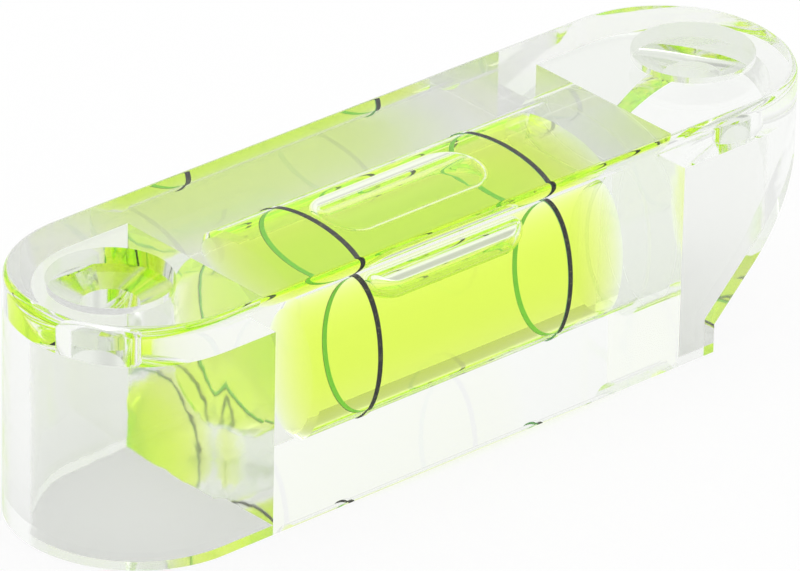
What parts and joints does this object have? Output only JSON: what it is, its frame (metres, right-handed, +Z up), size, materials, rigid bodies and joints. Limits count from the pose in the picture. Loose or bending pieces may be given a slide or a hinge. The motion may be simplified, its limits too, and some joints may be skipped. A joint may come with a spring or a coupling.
{
  "type": "block spirit level vial",
  "caption": "Clear moulded block vial with a bubble in green spirit, graduation rings and recessed screw ears.",
  "frame": {"origin": "centre of the underside of the block", "axes": "+Z up from the mounting surface, +X along the vial towards the plugged end"},
  "size_m": [0.055, 0.015, 0.015],
  "materials": {
    "clear_acrylic": "polished, clear",
    "plug_acrylic": "polished, clear",
    "ring_ink": "satin",
    "spirit": "clear green-yellow liquid",
    "air": "clear"
  },
  "bodies": {
    "vial": {"acrylic_body": "clear_acrylic", "end_plug": "plug_acrylic", "ring_left": "ring_ink", "ring_right": "ring_ink", "vial_fluid": "spirit"},
    "bubble": {"bubble": "air"}
  },
  "joints": [
    {"name": "bubble_slide", "type": "slide", "parent": "vial", "child": "bubble", "axis": [1, 0, 0], "range_m": [-0.0046, 0.0057], "stiffness_N_per_m": 10, "deforming": ["vial_fluid"]}
  ]
}
